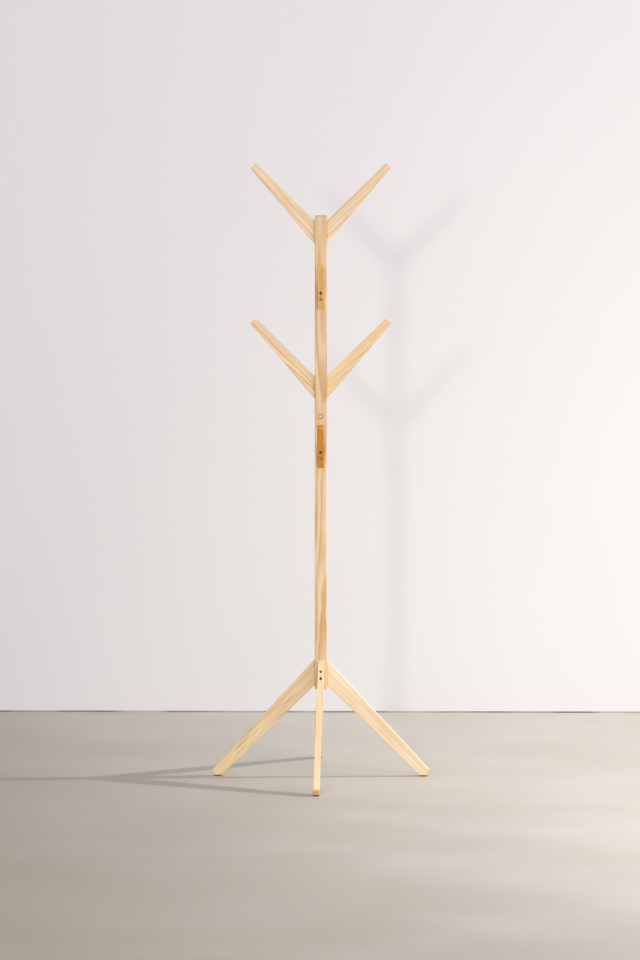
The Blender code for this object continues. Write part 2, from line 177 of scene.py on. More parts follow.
# Painted shadow: a thin dark line along the wall's foot, broken into dashes, where shade would lie in a
# gap.
height = add_node(tree, "ShaderNodeSeparateXYZ", {0: here}).outputs["Z"]
gap_shade_breaks = marks(tree, here, (0.25, 1.0, 1.0), 3.0)
painted_gap_shade = maths(tree, "LESS_THAN", height, GAP_HEIGHT)
painted_gap_shade = maths(tree, "MULTIPLY", painted_gap_shade, graded(tree, gap_shade_breaks, 0.35, 0.60, 0.45, 0.90))
colour = tinted(tree, painted_gap_shade, colour, GAP_SHADE)
dress(tree, shader, colour, PAINT_ROUGHNESS, roller, 0.05, 0.001)
from_behind = add_node(tree, "ShaderNodeNewGeometry").outputs["Backfacing"]
clear = add_node(tree, "ShaderNodeBsdfTransparent").outputs[0]
seen = add_node(tree, "ShaderNodeMixShader", {0: from_behind, 1: shader.outputs[0], 2: clear})
tree.links.new(seen.outputs[0], tree.nodes["Material Output"].inputs["Surface"])

wall_corners = [
    (-FLOOR_REACH, WALL_BEHIND_POST, 0),
    (FLOOR_REACH, WALL_BEHIND_POST, 0),
    (FLOOR_REACH, WALL_BEHIND_POST, WALL_HEIGHT),
    (-FLOOR_REACH, WALL_BEHIND_POST, WALL_HEIGHT),
]
wall = flat_sheet("wall", wall_corners, paint)
wall.visible_shadow = False


# ---- The light ---------------------------------------------------------------------------------
# The room is full of even light. A soft box in front, a little to the left, adds a faint shadow on the
# wall. A far lamp square to the right lights the right-hand edges and draws the legs' thin shadows on
# the floor. A low wide light on the right brightens the foot of the wall.

ROOM_GLOW = (0.96, 0.96, 1.0, 1.0)
ROOM_GLOW_STRENGTH = 0.86
RACK_MIDDLE = Vector((0.0, 0.0, 0.90))
FOOT_OF_WALL = Vector((0.9, WALL_BEHIND_POST, 0.0))


def soft_light(name, place, side, power, colour, target):
    """A square light that looks at a target, and isn't seen itself."""
    lamp = bpy.data.lights.new(name, "AREA")
    lamp.shape = "SQUARE"
    lamp.size = side
    lamp.energy = power
    lamp.color = colour
    light = new_object(name, lamp)
    light.location = place
    light.visible_camera = False
    light.rotation_euler = (target - light.location).to_track_quat("-Z", "Y").to_euler()


room = bpy.data.worlds.new("room_glow")
room.use_nodes = True
glow = room.node_tree.nodes["Background"]
fill(room.node_tree, glow, {"Color": ROOM_GLOW, "Strength": ROOM_GLOW_STRENGTH})
bpy.context.scene.world = room
bpy.context.scene.view_settings.view_transform = "Standard"
soft_light(
    "soft_box",
    place=(-0.99, -4.80, 1.54),
    side=0.30,
    power=40.0,
    colour=(1.0, 0.97, 0.94),
    target=RACK_MIDDLE,
)
soft_light(
    "far_lamp",
    place=(8.00, 0.60, 4.36),
    side=0.22,
    power=720.0,
    colour=(1.0, 0.96, 0.91),
    target=RACK_MIDDLE,
)
soft_light(
    "wall_light",
    place=(1.95, -1.40, 0.60),
    side=0.90,
    power=16.5,
    colour=(1.0, 0.99, 0.99),
    target=FOOT_OF_WALL,
)


# ---- The camera --------------------------------------------------------------------------------
# It stands level, well back and a touch to the right of the rack's own front, so the post hides the
# back leg, and it is lowered on its own frame to leave room above the arms.

CAMERA_DISTANCE = 5.8
CAMERA_HEIGHT = 1.07
CAMERA_ANGLE = math.radians(0.7)
CAMERA_SIDESTEP = -0.0026
CAMERA_LENS = 76.1
CAMERA_FALL = -0.082

eye = new_object("camera", bpy.data.cameras.new("camera"))
eye.data.lens = CAMERA_LENS
eye.data.shift_y = CAMERA_FALL
to_right = Vector((math.cos(CAMERA_ANGLE), math.sin(CAMERA_ANGLE), 0))
away = Vector((math.sin(CAMERA_ANGLE), -math.cos(CAMERA_ANGLE), 0))
eye.location = away * CAMERA_DISTANCE + to_right * CAMERA_SIDESTEP + Vector((0, 0, CAMERA_HEIGHT))
eye.rotation_euler = (math.pi / 2, 0, CAMERA_ANGLE)
bpy.context.scene.camera = eye


# ---- The post ----------------------------------------------------------------------------------
# Two square pine bars stand end to end. They are planed, their long edges are eased, and they are
# finished with a thin clear satin lacquer. The lower bar has broad wavy figure, the upper one finer.

POST_PALE = (0.860, 0.655, 0.415, 1.0)
POST_TAN = (0.670, 0.370, 0.125, 1.0)
UPPER_POST_PALE = (0.835, 0.580, 0.325, 1.0)
UPPER_POST_TAN = (0.580, 0.320, 0.125, 1.0)
RESIN_BROWN = (0.400, 0.180, 0.060, 1.0)
POST_END_TINT = (0.58, 0.41, 0.28, 1.0)
# The edge tints darken the eased edges: painted shade, with a little pooled lacquer.
EDGE_SHADE_TINT = (0.66, 0.50, 0.35, 1.0)
UPPER_POST_EDGE_SHADE_TINT = (0.48, 0.33, 0.22, 1.0)
LACQUER_COAT = 0.30
LACQUER_COAT_ROUGHNESS = 0.28
GRAIN_RELIEF = 0.0003


def open_group(name, kind, inputs, outputs):
    """A new node group with named sockets, and the values that it is given."""
    tree = bpy.data.node_groups.new(name, kind)
    for way, sockets in (("INPUT", inputs), ("OUTPUT", outputs)):
        for socket, holds in sockets.items():
            tree.interface.new_socket(name=socket, in_out=way, socket_type=f"NodeSocket{holds}")
    return tree, tree.nodes.new("NodeGroupInput").outputs


def sawn_pine():
    """The figure of planed pine, as a group: growth rings round a pith line that runs along x."""
    inputs = {
        "Place": "Vector",
        "Grain Run": "Vector",
        "Face Side": "Vector",
        "Ring Width": "Float",
        "Ring Wander": "Float",
        "Ring Depth": "Float",
        "Resin": "Float",
        "Early Wood": "Color",
        "Late Wood": "Color",
        "Cut End Tint": "Color",
        "Edge Tint": "Color",
    }
    outputs = {"Color": "Color", "Roughness": "Float", "Height": "Float"}
    tree, given = open_group("sawn pine", "ShaderNodeTree", inputs, outputs)
    place = given["Place"]

    # Rings: the distance from the pith, pushed in and out slowly, cut into bands of one year each.
    across = add_node(tree, "ShaderNodeVectorMath", {0: place, 1: (0, 1, 1)}, operation="MULTIPLY")
    reach = add_node(tree, "ShaderNodeVectorMath", {0: across.outputs[0]}, operation="LENGTH")
    slow = maths(tree, "SUBTRACT", marks(tree, place, (0.30, 0.07, 0.07), 1.0), 0.5)
    quick = maths(tree, "SUBTRACT", marks(tree, place, (0.060, 0.012, 0.012)), 0.5)
    wander = maths(tree, "MULTIPLY", slow, 2.0)
    wander = maths(tree, "ADD", wander, maths(tree, "MULTIPLY", quick, 0.30))
    wander = maths(tree, "MULTIPLY", wander, given["Ring Wander"])
    growth = maths(tree, "ADD", reach.outputs["Value"], wander)
    years = maths(tree, "DIVIDE", growth, given["Ring Width"])
    year = maths(tree, "FLOOR", years)
    season = maths(tree, "FRACT", years)
    winter = graded(tree, season, 0.88, 1.0, 1.0, 0.0)
    late = maths(tree, "MULTIPLY", graded(tree, season, 0.15, 0.85), winter)
    chance = add_node(tree, "ShaderNodeTexWhiteNoise", {"W": year}, noise_dimensions="1D")
    weather = maths(tree, "MULTIPLY", chance.outputs["Value"], 0.75)
    weather = maths(tree, "ADD", weather, 0.25)
    rings = maths(tree, "MULTIPLY", maths(tree, "MULTIPLY", late, weather), given["Ring Depth"])

    # Between them: broad soft clouds, streaks along the grain, fine fibres and short resin ducts.
    clouds = marks(tree, place, (0.14, 0.030, 0.030))
    streaks = marks(tree, place, (0.110, 0.0035, 0.0035))
    fibres = marks(tree, place, (0.030, 0.0008, 0.0008), 3.0, 0.6)
    ducts = graded(tree, marks(tree, place, (0.0065, 0.0006, 0.0006), 1.0), 0.68, 0.80)
    amount = rings
    for layer in (
        graded(tree, streaks, 0.42, 0.72, 0.0, 0.26),
        graded(tree, clouds, 0.30, 0.75, -0.06, 0.20),
        graded(tree, fibres, 0.25, 0.75, -0.05, 0.10),
        maths(tree, "MULTIPLY", ducts, 0.14),
    ):
        amount = maths(tree, "ADD", amount, layer)
    colour = tinted(tree, amount, given["Early Wood"], given["Late Wood"])
    sap = graded(tree, marks(tree, place, (0.090, 0.0060, 0.0060), 1.0), 0.56, 0.74)
    colour = tinted(tree, maths(tree, "MULTIPLY", sap, given["Resin"]), colour, RESIN_BROWN)

    # Cut ends soak up more lacquer and go darker. The eased edges, where a face turns into a side,
    # are darkened with painted shade and a little pooled lacquer.
    normal = add_node(tree, "ShaderNodeTexCoord").outputs["Normal"]
    along = maths(tree, "ABSOLUTE", dot(tree, normal, given["Grain Run"]))
    cut_end = graded(tree, along, 0.50, 0.88)
    colour = tinted(tree, cut_end, colour, given["Cut End Tint"], "MULTIPLY")
    side = dot(tree, normal, given["Face Side"])
    square = maths(tree, "MULTIPLY", side, side)
    edge = maths(tree, "MULTIPLY", square, maths(tree, "SUBTRACT", 1.0, square))
    edge = maths(tree, "MULTIPLY", edge, 4.0)
    # The painted shade along the edges is made patchy by soft marks.
    patchy_edge_shade = graded(tree, marks(tree, place, (0.030, 0.006, 0.006), 3.0), 0.30, 0.65, 0.35, 1.0)
    edge = maths(tree, "MULTIPLY", edge, patchy_edge_shade)
    colour = tinted(tree, edge, colour, given["Edge Tint"], "MULTIPLY")

    sheen = graded(tree, marks(tree, place, (0.05, 0.012, 0.012), 3.0), 0.3, 0.7, 0.40, 0.52)
    sheen = maths(tree, "ADD", sheen, maths(tree, "MULTIPLY", cut_end, 0.16))
    sheen = maths(tree, "SUBTRACT", sheen, maths(tree, "MULTIPLY", rings, 0.06))
    relief = maths(tree, "MULTIPLY", fibres, 0.5)
    relief = maths(tree, "ADD", relief, maths(tree, "MULTIPLY", rings, 0.5))
    relief = maths(tree, "SUBTRACT", relief, maths(tree, "MULTIPLY", ducts, 0.6))
    add_node(tree, "NodeGroupOutput", {"Color": colour, "Roughness": sheen, "Height": relief})
    return tree


def pine(
    name,
    pith,
    run,
    face_side,
    early,
    late,
    cut_end,
    edge=EDGE_SHADE_TINT,
    width=0.0045,
    wander=0.005,
    depth=0.75,
    resin=0.0,
):
    """Lacquered pine whose pith line passes through a point and runs along the grain."""
    material, tree, shader, here = bare_material(name)
    run = Vector(run).normalized()
    face_side = Vector(face_side).normalized()
    side = (face_side - run * face_side.dot(run)).normalized()
    turn = Matrix((run, side, run.cross(side))).transposed().to_euler()
    inputs = {"Vector": here, "Location": pith, "Rotation": turn}
    place = add_node(tree, "ShaderNodeMapping", inputs, vector_type="TEXTURE").outputs[0]
    inputs = {
        "Place": place,
        "Grain Run": run,
        "Face Side": face_side,
        "Ring Width": width,
        "Ring Wander": wander,
        "Ring Depth": depth,
        "Resin": resin,
        "Early Wood": early,
        "Late Wood": late,
        "Cut End Tint": cut_end,
        "Edge Tint": edge,
    }
    figure = add_node(tree, "ShaderNodeGroup", inputs, node_tree=pine_figure).outputs
    dress(tree, shader, figure["Color"], figure["Roughness"], figure["Height"], 0.30, GRAIN_RELIEF)
    fill(tree, shader, {"Coat Weight": LACQUER_COAT, "Coat Roughness": LACQUER_COAT_ROUGHNESS})
    return material


def refinish(node, material):
    """Give a CAD piece its real finish."""
    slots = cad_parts[node].data.materials
    slots.clear()
    slots.append(material)


pine_figure = sawn_pine()
lower_post_pine = pine(
    "lower_post_pine",
    pith=(0.012, 0.035, 0.60),
    run=(0.006, 0.010, 1.0),
    face_side=(0, 1, 0),
    early=POST_PALE,
    late=POST_TAN,
    cut_end=POST_END_TINT,
    width=0.0058,
    wander=0.009,
    depth=0.95,
)
upper_post_pine = pine(
    "upper_post_pine",
    pith=(0.011, 0.072, 1.35),
    run=(0.004, -0.016, 1.0),
    face_side=(0, 1, 0),
    early=UPPER_POST_PALE,
    late=UPPER_POST_TAN,
    cut_end=POST_END_TINT,
    edge=UPPER_POST_EDGE_SHADE_TINT,
    width=0.0036,
    wander=0.0030,
    depth=0.75,
)
refinish("lower_post", lower_post_pine)
refinish("upper_post", upper_post_pine)


# ---- The joint of the post ---------------------------------------------------------------------
# A loose beech dowel crosses the seam inside the post. A socket-head bolt from the front and a
# flanged sleeve nut from the back, both nickel-plated steel, clamp it to the upper bar.

BEECH = (0.520, 0.300, 0.155, 1.0)
BEECH_RAY = (0.330, 0.165, 0.075, 1.0)
NICKEL = (0.700, 0.670, 0.620, 1.0)
NICKEL_DULL = (0.480, 0.450, 0.410, 1.0)
PLATING_MARK_LENGTH = 0.0050
PLATING_MARK_WIDTH = 0.0003
TURNED_SIDES = 48
METAL_SHARP_ANGLE = math.radians(32)
CORNER_CUT = 0.30
CUT_PAST = 0.0020
BOLT_SHANK = 0.0030
BOLT_TIP_EASE = 0.0006
BOLT_HEAD_HEIGHT = 0.0032
BOLT_HEAD_EASE = 0.0007
HEX_ACROSS_FLATS = 0.0040
HEX_DEPTH = 0.0020
HEX_DRILL_POINT = 0.0008
HEX_MOUTH_EASE = 0.0002
SLEEVE_RADIUS = 0.00425
SLEEVE_TIP_EASE = 0.0004
FLANGE_THICKNESS = 0.0015
FLANGE_EASE_DEPTH = 0.0006
FLANGE_EASE_REACH = 0.0010
SLOT_WIDTH = 0.0014
SLOT_DEPTH = 0.0010


def join_rings(shape, rings, sides):
    """Join each ring of points to the next by a band of faces. A lone point counts as a ring."""
    for ring, following in zip(rings, rings[1:]):
        for step in range(sides):
            corners = (
                ring[step % len(ring)],
                ring[(step + 1) % len(ring)],
                following[(step + 1) % len(following)],
                following[step % len(following)],
            )
            shape.faces.new(dict.fromkeys(corners))


def as_object(name, shape):
    """Turn a closed shape into an object, with its faces pointing outwards."""
    bmesh.ops.recalc_face_normals(shape, faces=shape.faces)
    mesh = bpy.data.meshes.new(name)
    shape.to_mesh(mesh)
    shape.free()
    return new_object(name, mesh)


def turned(name, profile, sides=TURNED_SIDES):
    """Turn a profile of (x, radius) points round the x axis, from axis to axis."""
    shape = bmesh.new()
    angles = [2 * math.pi * step / sides for step in range(sides)]
    rings = []
    for x, radius in profile:
        spots = [(x, radius * math.cos(angle), radius * math.sin(angle)) for angle in angles]
        if radius == 0:
            spots = [(x, 0, 0)]
        rings.append([shape.verts.new(spot) for spot in spots])
    join_rings(shape, rings, sides)
    return as_object(name, shape)


def baked(piece):
    """Turn a piece and its modifiers into a plain mesh."""
    bpy.context.view_layer.update()
    evaluated = piece.evaluated_get(bpy.context.evaluated_depsgraph_get())
    mesh = bpy.data.meshes.new_from_object(evaluated)
    piece.modifiers.clear()
    mesh.name = piece.name
    piece.data = mesh


def cut_out(piece, tool):
    """Cut a tool's shape out of a piece."""
    modifier = piece.modifiers.new("cut", "BOOLEAN")
    modifier.operation = "DIFFERENCE"
    modifier.solver = "MANIFOLD"
    modifier.object = tool
    baked(piece)
    bpy.data.objects.remove(tool)


def smoothed(piece, sharp_angle):
    piece.data.shade_smooth()
    piece.data.set_sharp_from_angle(angle=sharp_angle)


def fitted(piece, material, slot, *nodes):
    """Finish a piece that stands for CAD nodes and rides with the rack."""
    piece.data.materials.clear()
    piece.data.materials.append(material)
    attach(piece, "root")
    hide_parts(*nodes)


def plated(name, bright, dull, run):
    """Plated steel with a little tarnish and fine marks, drawn out along `run` if it has one."""
    material, tree, shader, here = bare_material(name)
    size = [PLATING_MARK_LENGTH if part else PLATING_MARK_WIDTH for part in run]
    drawn = marks(tree, here, size, 2.0, 0.6)
    tarnish = marks(tree, here, (0.0030, 0.0030, 0.0030), 3.0, 0.6)
    colour = tinted(tree, graded(tree, tarnish, 0.40, 0.75, 0.0, 0.75), bright, dull)
    colour = tinted(tree, graded(tree, drawn, 0.40, 0.80, 0.0, 0.25), colour, dull)
    dress(tree, shader, colour, graded(tree, tarnish, 0.3, 0.7, 0.22, 0.42), drawn, 0.2, 0.0001)
    fill(tree, shader, {"Metallic": 1.0})
    return material


beech, tree, shader, here = bare_material("dowel_beech")
rays = marks(tree, here, (0.0006, 0.0006, 0.0040))
growth = marks(tree, here, (0.0025, 0.0025, 0.12))
colour = tinted(tree, graded(tree, growth, 0.35, 0.70, 0.0, 0.45), BEECH, BEECH_RAY)
colour = tinted(tree, graded(tree, rays, 0.56, 0.72, 0.0, 0.60), colour, BEECH_RAY)
dress(tree, shader, colour, graded(tree, growth, 0.3, 0.7, 0.55, 0.70), rays, 0.3, 0.0002)
refinish("joining_dowel", beech)

bolt_low, bolt_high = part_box("joint_bolt")
bolt_height = (bolt_high.z + bolt_low.z) / 2
head_radius = (bolt_high.x - bolt_low.x) / 2
head_face = -bolt_low.y
head_seat = head_face - BOLT_HEAD_HEIGHT
bolt_tip = -bolt_high.y
head_corner_cut = CORNER_CUT * BOLT_HEAD_EASE
profile = [
    (bolt_tip, 0),
    (bolt_tip, BOLT_SHANK - BOLT_TIP_EASE),
    (bolt_tip + BOLT_TIP_EASE, BOLT_SHANK),
    (head_seat, BOLT_SHANK),
    (head_seat, head_radius),
    (head_face - BOLT_HEAD_EASE, head_radius),
    (head_face - head_corner_cut, head_radius - head_corner_cut),
    (head_face, head_radius - BOLT_HEAD_EASE),
    (head_face, 0),
]
bolt = turned("socket_bolt", profile)
corner = HEX_ACROSS_FLATS / math.sqrt(3)
key_profile = [
    (head_face - HEX_DEPTH - HEX_DRILL_POINT, 0),
    (head_face - HEX_DEPTH, corner),
    (head_face - HEX_MOUTH_EASE, corner),
    (head_face + CUT_PAST, corner + CUT_PAST + HEX_MOUTH_EASE),
    (head_face + CUT_PAST, 0),
]
cut_out(bolt, turned("hex_key", key_profile, sides=6))
bolt.data.transform(Matrix.Translation((0, 0, bolt_height)) @ Matrix.Rotation(-math.pi / 2, 4, "Z"))
smoothed(bolt, METAL_SHARP_ANGLE)
nickel = plated("bolt_nickel", NICKEL, NICKEL_DULL, (0, 1, 0))
fitted(bolt, nickel, "nickel_bolt", "joint_bolt")

nut_low, nut_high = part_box("joint_sleeve_nut")
flange_radius = (nut_high.x - nut_low.x) / 2
flange_face = nut_high.y
flange_seat = flange_face - FLANGE_THICKNESS
profile = [
    (nut_low.y, 0),
    (nut_low.y, SLEEVE_RADIUS - SLEEVE_TIP_EASE),
    (nut_low.y + SLEEVE_TIP_EASE, SLEEVE_RADIUS),
    (flange_seat, SLEEVE_RADIUS),
    (flange_seat, flange_radius),
    (flange_face - FLANGE_EASE_DEPTH, flange_radius),
    (flange_face - FLANGE_EASE_DEPTH / 3, flange_radius - CORNER_CUT * FLANGE_EASE_REACH),
    (flange_face, flange_radius - FLANGE_EASE_REACH),
    (flange_face, 0),
]
nut = turned("sleeve_nut", profile)
slot_shape = bmesh.new()
bmesh.ops.create_cube(slot_shape, size=1)
slot_size = (2 * SLOT_DEPTH, SLOT_WIDTH, 4 * flange_radius)
bmesh.ops.scale(slot_shape, vec=slot_size, verts=slot_shape.verts)
bmesh.ops.translate(slot_shape, vec=(flange_face, 0, 0), verts=slot_shape.verts)
cut_out(nut, as_object("driver_slot", slot_shape))
nut.data.transform(Matrix.Translation((0, 0, bolt_height)) @ Matrix.Rotation(math.pi / 2, 4, "Z"))
smoothed(nut, METAL_SHARP_ANGLE)
fitted(nut, nickel, "nickel_bolt", "joint_sleeve_nut")


# ---- Arms --------------------------------------------------------------------------------------
# Four long arms and four short ones, each a flat pine board sawn to a long taper, its free edges
# rounded over. Its base butts against the post, and two recesses for screw heads are drilled into
# its sloping edge.

BOARD_THICKNESS = 0.018
BOARD_ARRIS = 0.0011
ARRIS_STEPS = 3
ARRIS_FROM_ANGLE = math.radians(40)
BOARD_SHARP_ANGLE = math.radians(35)
TIP_ROUND = 0.0028
TIP_ROUND_STEPS = 4
MERGE_DISTANCE = 0.00001
RECESS_DIAMETER = 0.0078
RECESS_FLOOR = 0.0160
RECESS_SIDES = 32
ARM_BASE = 0.065
ARM_TIP_WIDTH = 0.021
ARM_ANGLE = math.radians(49.5)
LONG_ARM_LENGTH = 0.2837
SHORT_ARM_LENGTH = 0.1473
ARM_SCREW_HEIGHTS = (0.0285, 0.0460)
SIDE_TURNS = {"right": 0.0, "back": math.pi / 2, "left": math.pi, "front": -math.pi / 2}
PITH_ALONG = 0.08
BOARD_END_TINT = (0.95, 0.86, 0.72, 1.0)
# The dark edge tint is painted shade on the front short arms' edges, with a little pooled lacquer.
DARK_EDGE_SHADE_TINT = (0.300, 0.150, 0.070, 1.0)
ARM_EARLY = (0.900, 0.710, 0.455, 1.0)
ARM_LATE = (0.690, 0.390, 0.150, 1.0)
PALE_EARLY = (0.880, 0.690, 0.480, 1.0)
PALE_LATE = (0.680, 0.395, 0.165, 1.0)
GOLDEN_ARM_EARLY = (0.890, 0.660, 0.370, 1.0)
# Painted shade: the two front short arms get darker, oranger wood, the colour their shaded undersides
# show. It is deepest on the lower arm.
SHADED_AMBER_EARLY = (0.880, 0.590, 0.220, 1.0)
SHADED_AMBER_LATE = (0.500, 0.210, 0.035, 1.0)
DEEP_SHADED_AMBER_EARLY = (0.740, 0.320, 0.025, 1.0)
DEEP_SHADED_AMBER_LATE = (0.400, 0.135, 0.010, 1.0)
ARM = {"cut_end": BOARD_END_TINT}
STRIPED = {**ARM, "early": ARM_EARLY, "late": ARM_LATE, "wander": 0.003}
QUIET = {**ARM, "early": PALE_EARLY, "late": PALE_LATE, "depth": 0.70}
SHADED_AMBER = {**ARM, "early": SHADED_AMBER_EARLY, "late": SHADED_AMBER_LATE, "width": 0.0052, "edge": DARK_EDGE_SHADE_TINT}
DEEP_SHADED_AMBER = {**SHADED_AMBER, "early": DEEP_SHADED_AMBER_EARLY, "late": DEEP_SHADED_AMBER_LATE}
LONG_ARMS = {
    "upper_left_arm": {**STRIPED, "pith": (0.050, 0.120), "tilt": 0.6, "width": 0.0078, "depth": 0.6},
    "upper_right_arm": {**QUIET, "pith": (0.045, 0.040), "tilt": 1.8, "width": 0.0052},
    "lower_left_arm": {
        **STRIPED,
        "pith": (0.034, 0.062),
        "tilt": 1.0,
        "width": 0.0046,
        "wander": 0.005,
        "depth": 1.0,
    },
    "lower_right_arm": {
        **QUIET,
        "early": GOLDEN_ARM_EARLY,
        "pith": (0.060, 0.010),
        "tilt": 4.0,
        "wander": 0.009,
    },
}
SHORT_ARMS = {
    # The front arms' amber woods are painted shade.
    "upper_front_arm": {**SHADED_AMBER, "pith": (0.050, 0.020), "tilt": 0.2},
    "upper_back_arm": {**QUIET, "pith": (0.030, 0.060), "tilt": 2.0},
    "lower_front_arm": {**DEEP_SHADED_AMBER, "pith": (0.060, 0.030), "tilt": 0.2},
    "lower_back_arm": {**STRIPED, "pith": (0.050, 0.050), "tilt": 2.0},
}


def moved(tree, geometry, place, turn):
    """Turn a tree's geometry about the upright axis, then move it to its place."""
    rotation = add_node(tree, "ShaderNodeCombineXYZ", {"Z": turn}).outputs[0]
    inputs = {"Geometry": geometry, "Translation": place, "Rotation": rotation}
    return add_node(tree, "GeometryNodeTransform", inputs).outputs[0]


def close_tree(tree, geometry, material):
    """End a tree with real geometry that carries its material."""
    real = add_node(tree, "GeometryNodeRealizeInstances", {"Geometry": geometry})
    inputs = {"Geometry": real.outputs[0], "Material": material}
    finished = add_node(tree, "GeometryNodeSetMaterial", inputs)
    add_node(tree, "NodeGroupOutput", {"Geometry": finished.outputs[0]})
    return tree


def board_tree():
    """A tree that cuts one board: outline, rounded tip, thickness, then its place on the post."""
    inputs = {
        "Base Width": "Float",
        "Sole End": "Vector",
        "Lower Tip": "Vector",
        "Upper Tip": "Vector",
        "Tip Round": "Float",
        "Thickness": "Float",
        "Slant": "Float",
        "Slant Level": "Float",
        "Side Turn": "Float",
        "Base Place": "Vector",
        "Wood": "Material",
    }
    tree, given = open_group("tapered board", "GeometryNodeTree", inputs, {"Geometry": "Geometry"})

    # The outline has five corners. The first is the base's foot, at the origin.
    base_top = add_node(tree, "ShaderNodeCombineXYZ", {"Y": given["Base Width"]}).outputs[0]
    corners = (None, given["Sole End"], given["Lower Tip"], given["Upper Tip"], base_top)
    line = add_node(tree, "GeometryNodeMeshLine", {"Count": len(corners)})
    number = add_node(tree, "GeometryNodeInputIndex").outputs[0]
    chosen = add_node(tree, "GeometryNodeIndexSwitch", data_type="VECTOR")
    while len(chosen.index_switch_items) < len(corners):
        chosen.index_switch_items.new()
    tree.links.new(number, chosen.inputs[0])
    for position, corner in enumerate(corners):
        if corner:
            tree.links.new(corner, chosen.inputs[position + 1])
    inputs = {"Geometry": line.outputs[0], "Position": chosen.outputs[0]}
    outline = add_node(tree, "GeometryNodeSetPosition", inputs)

    # Only the two tip corners, the third and the fourth, are rounded.
    past_sole = maths(tree, "GREATER_THAN", number, 1.5)
    before_base = maths(tree, "LESS_THAN", number, 3.5)
    at_tip = maths(tree, "MULTIPLY", past_sole, before_base)
    rounding = maths(tree, "MULTIPLY", at_tip, given["Tip Round"])
    inputs = {"Geometry": outline.outputs[0], "Name": "tip_round", "Value": rounding}
    stored = add_node(tree, "GeometryNodeStoreNamedAttribute", inputs, data_type="FLOAT", domain="POINT")
    curve = add_node(tree, "GeometryNodeMeshToCurve", {"Mesh": stored.outputs[0]})
    inputs = {"Geometry": curve.outputs[0], "Cyclic": True}
    closed = add_node(tree, "GeometryNodeSetSplineCyclic", inputs)
    radius = add_node(tree, "GeometryNodeInputNamedAttribute", {"Name": "tip_round"}, data_type="FLOAT")
    inputs = {
        "Curve": closed.outputs[0],
        "Radius": radius.outputs["Attribute"],
        "Count": TIP_ROUND_STEPS,
    }
    fillet = add_node(tree, "GeometryNodeFilletCurve", inputs, mode="POLY")
    face = add_node(tree, "GeometryNodeFillCurve", {"Curve": fillet.outputs[0]}, mode="NGONS")

    # The filled outline is thickened, closed underneath and stood upright about the board's middle.
    rise = add_node(tree, "ShaderNodeCombineXYZ", {"Z": given["Thickness"]}).outputs[0]
    inputs = {"Mesh": face.outputs[0], "Offset": rise, "Individual": False}
    solid = add_node(tree, "GeometryNodeExtrudeMesh", inputs, mode="FACES")
    under = add_node(tree, "GeometryNodeFlipFaces", {"Mesh": face.outputs[0]})
    both = add_node(tree, "GeometryNodeJoinGeometry")
    tree.links.new(solid.outputs["Mesh"], both.inputs[0])
    tree.links.new(under.outputs[0], both.inputs[0])
    inputs = {"Geometry": both.outputs[0], "Distance": MERGE_DISTANCE}
    whole = add_node(tree, "GeometryNodeMergeByDistance", inputs)
    half = maths(tree, "DIVIDE", given["Thickness"], 2.0)
    centre = add_node(tree, "ShaderNodeCombineXYZ", {"Y": half}).outputs[0]
    inputs = {"Geometry": whole.outputs[0], "Translation": centre, "Rotation": (math.pi / 2, 0, 0)}
    upright = add_node(tree, "GeometryNodeTransform", inputs)

    # A slant shears it sideways about the level of its screws, so their recesses stay where they are.
    spot = add_node(tree, "GeometryNodeInputPosition").outputs[0]
    height = add_node(tree, "ShaderNodeSeparateXYZ", {0: spot}).outputs["Z"]
    over = maths(tree, "SUBTRACT", height, given["Slant Level"])
    over = maths(tree, "MULTIPLY", over, given["Slant"])
    aside = add_node(tree, "ShaderNodeCombineXYZ", {"Y": over}).outputs[0]
    inputs = {"Geometry": upright.outputs[0], "Offset": aside}
    askew = add_node(tree, "GeometryNodeSetPosition", inputs)
    placed = moved(tree, askew.outputs[0], given["Base Place"], given["Side Turn"])
    return close_tree(tree, placed, given["Wood"])


def recess_tree():
    """A tree that drills the two screw-head recesses, square to the board's base."""
    inputs = {
        "Geometry": "Geometry",
        "Lower Screw Height": "Float",
        "Upper Screw Height": "Float",
        "Recess Diameter": "Float",
        "Recess Floor": "Float",
        "Drill Length": "Float",
        "Side Turn": "Float",
        "Base Place": "Vector",
        "Wood": "Material",
    }
    tree, given = open_group("screw recesses", "GeometryNodeTree", inputs, {"Geometry": "Geometry"})
    radius = maths(tree, "DIVIDE", given["Recess Diameter"], 2.0)
    inputs = {"Vertices": RECESS_SIDES, "Radius": radius, "Depth": given["Drill Length"]}
    drill = add_node(tree, "GeometryNodeMeshCylinder", inputs)
    middle = maths(tree, "DIVIDE", given["Drill Length"], 2.0)
    middle = maths(tree, "ADD", given["Recess Floor"], middle)
    inputs = {"X": middle, "Z": given["Lower Screw Height"]}
    start = add_node(tree, "ShaderNodeCombineXYZ", inputs).outputs[0]
    apart = maths(tree, "SUBTRACT", given["Upper Screw Height"], given["Lower Screw Height"])
    step = add_node(tree, "ShaderNodeCombineXYZ", {"Z": apart}).outputs[0]
    line = add_node(tree, "GeometryNodeMeshLine", {"Count": 2, "Start Location": start, "Offset": step})
    inputs = {
        "Points": line.outputs[0],
        "Instance": drill.outputs["Mesh"],
        "Rotation": (0, math.pi / 2, 0),
    }
    drills = add_node(tree, "GeometryNodeInstanceOnPoints", inputs)
    placed = moved(tree, drills.outputs[0], given["Base Place"], given["Side Turn"])
    real = add_node(tree, "GeometryNodeRealizeInstances", {"Geometry": placed})
    inputs = {"Mesh 1": given["Geometry"], "Mesh 2": real.outputs[0]}
    drilled = add_node(
        tree, "GeometryNodeMeshBoolean", inputs, operation="DIFFERENCE", solver="MANIFOLD"
    )
    return close_tree(tree, drilled.outputs[0], given["Wood"])


